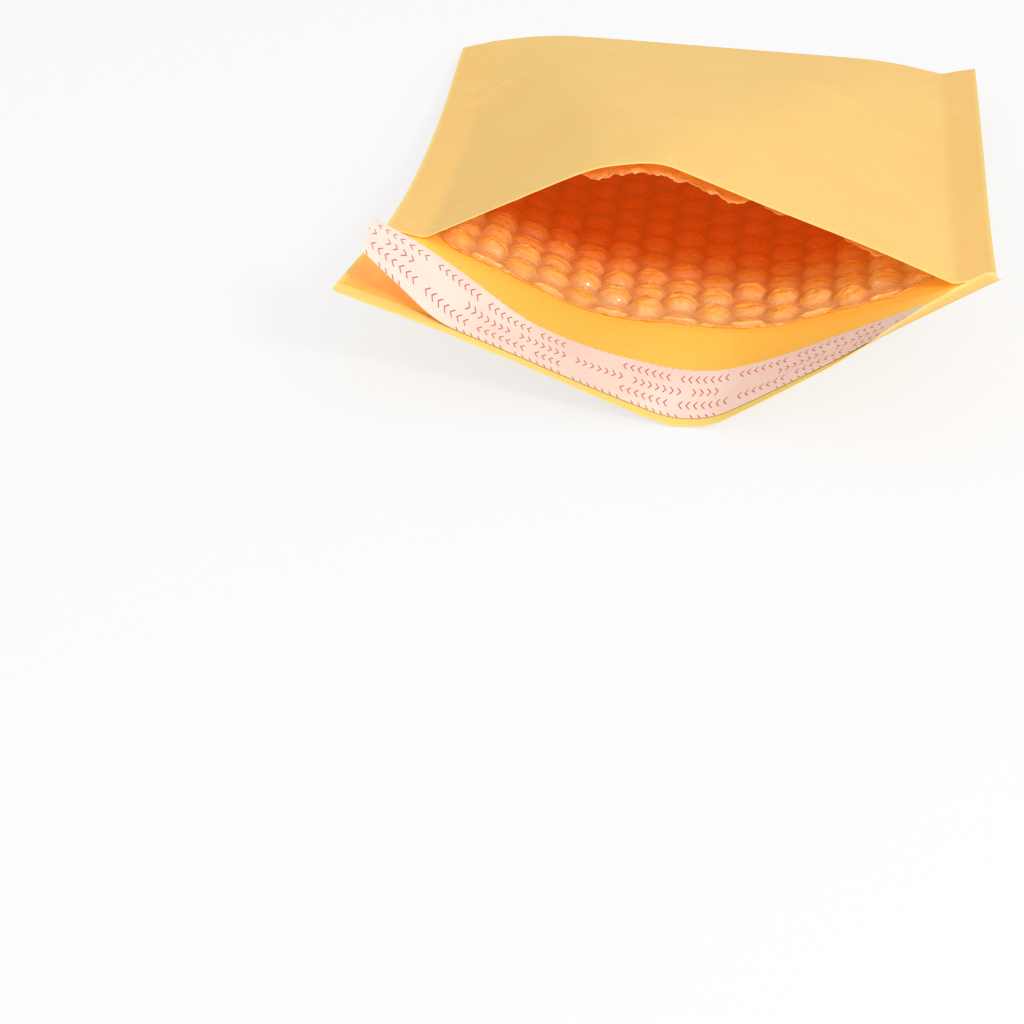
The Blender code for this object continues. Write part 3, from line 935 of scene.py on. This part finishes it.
def makeReleaseStrip(sheet):
    end = halfWidth - releaseStrip["endInset"]
    low = flapEnd + releaseStrip["edgeMargin"]
    bm = flatGrid(-end, end, low, low + releaseStrip["width"], releaseStrip["step"])
    keepFlatMap(bm)
    thicken(bm, releaseStrip["thickness"])
    flat = flatVerts(bm)
    keepValue(bm, "inside", (flat[:, 2] > releaseStrip["thickness"] / 2).astype(float))
    share = (flat[:, 1] - low) / releaseStrip["width"]
    starts, slopes = releaseStrip["liftStart"], releaseStrip["liftSlope"]
    start = starts[1] + (starts[0] - starts[1]) * share
    slope = slopes[1] + (slopes[0] - slopes[1]) * share
    flat[:, 2] += slope * ramp(start - flat[:, 0], releaseStrip["liftSoftness"]) + curlHeight(flat)
    flat[:, 2] += sheetShape["paper"] + releaseStrip["gap"]
    nearEnd = smoothStep(-end + releaseStrip["leanLength"], -end, flat[:, 0])
    flat[:, 0] -= releaseStrip["endLean"] * share * nearEnd
    moveVerts(bm, sheet.lay(flat))
    finishPiece("peel_strip", bm, makeReleasePaper(), "release_liner",
                releaseStrip["sharpAngle"])


adhesiveBand = {
    "low": 0.0064,   # from the flap's cut end
    "high": 0.0235,
    "endInset": 0.0015,
    "thickness": 0.00008,
    "gap": 0.00008,
    "step": 0.002,
    "sharpAngle": 60,
}


def makeAdhesiveBand(sheet):
    end = halfWidth - adhesiveBand["endInset"]
    low, high = flapEnd + adhesiveBand["low"], flapEnd + adhesiveBand["high"]
    bm = flatGrid(-end, end, low, high, adhesiveBand["step"])
    keepFlatMap(bm)
    thicken(bm, adhesiveBand["thickness"])
    flat = flatVerts(bm)
    flat[:, 2] += sheetShape["paper"] + adhesiveBand["gap"] + curlHeight(flat)
    moveVerts(bm, sheet.lay(flat))
    finishPiece("adhesive_band", bm, makeAdhesive(), "adhesive_strip",
                adhesiveBand["sharpAngle"])


# Floor, light and camera

studioLook = {
    "floorSize": 3,
    "floorColour": (0.86, 0.86, 0.86),
    "floorRoughness": 0.6,
    "floorWhite": 0.75,   # how far the camera sees the floor as plain white
    "skyLight": 0.82,
    "lamp": {"place": (0.66, -0.83, 0.80), "target": (0, -0.03, 0.03), "size": 0.28, "power": 6.0},
}


def makeStage():
    bm = bmesh.new()
    bmesh.ops.create_grid(bm, x_segments=1, y_segments=1, size=studioLook["floorSize"])
    mesh = bpy.data.meshes.new("floor")
    bm.to_mesh(mesh)
    bm.free()
    floor = bpy.data.objects.new("floor", mesh)
    bpy.context.scene.collection.objects.link(floor)
    finish = Finish("pale_floor")
    finish.set(Base_Color=studioLook["floorColour"], Roughness=studioLook["floorRoughness"],
               Specular_IOR_Level=0.0)
    glow = finish.node("ShaderNodeEmission", {}, {"Color": (1, 1, 1), "Strength": 1.0})
    seen = finish.node("ShaderNodeLightPath", {}, {}, "Is Camera Ray")
    both = finish.node("ShaderNodeMixShader", {}, {0: seen * studioLook["floorWhite"], 2: glow})
    mixer = both.socket.node
    finish.tree.links.new(finish.shader.outputs[0], mixer.inputs[1])
    finish.tree.links.new(both.socket, finish.tree.nodes["Material Output"].inputs["Surface"])
    mesh.materials.append(finish.material)


def makeWorld():
    world = bpy.data.worlds.new("studio")
    bpy.context.scene.world = world
    world.use_nodes = True
    tree = world.node_tree
    back = tree.nodes["Background"]
    back.inputs["Color"].default_value = (1, 1, 1, 1)
    path = tree.nodes.new("ShaderNodeLightPath")
    level = tree.nodes.new("ShaderNodeMapRange")
    level.inputs["To Min"].default_value = studioLook["skyLight"]
    level.inputs["To Max"].default_value = 1.0
    tree.links.new(path.outputs["Is Camera Ray"], level.inputs["Value"])
    tree.links.new(level.outputs[0], back.inputs["Strength"])


def makeLamp(name, look):
    lamp = bpy.data.lights.new(name, "AREA")
    lamp.shape = "DISK"
    lamp.size = look["size"]
    lamp.energy = look["power"]
    lampObject = bpy.data.objects.new(name, lamp)
    bpy.context.scene.collection.objects.link(lampObject)
    lampObject.location = look["place"]
    aim = Vector(look["target"]) - Vector(look["place"])
    lampObject.rotation_euler = aim.to_track_quat("-Z", "Y").to_euler()


view = {
    "azimuth": -6.487,
    "elevation": 33.374,
    "roll": -2.293,
    "distance": 0.4612,
    "aim": (-0.0305, -0.2083, 0.020),
    "focalPixels": 2028.3,
    "pixels": 1024,
    "sensor": 36,
}


def makeCamera():
    turn, tilt, roll = (radians(view[key]) for key in ("azimuth", "elevation", "roll"))
    forward = Vector((sin(turn) * cos(tilt), cos(turn) * cos(tilt), -sin(tilt)))
    level = Vector((cos(turn), -sin(turn), 0))
    down = forward.cross(level)
    right = cos(roll) * level + sin(roll) * down
    below = -sin(roll) * level + cos(roll) * down
    data = bpy.data.cameras.new("camera")
    data.sensor_width = view["sensor"]
    data.lens = view["sensor"] * view["focalPixels"] / view["pixels"]
    data.clip_start = 0.01
    camera = bpy.data.objects.new("camera", data)
    bpy.context.scene.collection.objects.link(camera)
    place = Vector(view["aim"]) - view["distance"] * forward
    turned = Matrix((right, -below, -forward)).transposed().to_4x4()
    camera.matrix_world = Matrix.Translation(place) @ turned
    bpy.context.scene.camera = camera


sheet = BentSheet()
print("sheet bent")
makePaper(sheet)
makeFilmWeb(sheet)
makeReleaseStrip(sheet)
makeAdhesiveBand(sheet)
print("envelope laid")

makeStage()
makeWorld()
makeLamp("front_right", studioLook["lamp"])
makeCamera()
bpy.context.scene.view_settings.view_transform = "Standard"
print("studio set")
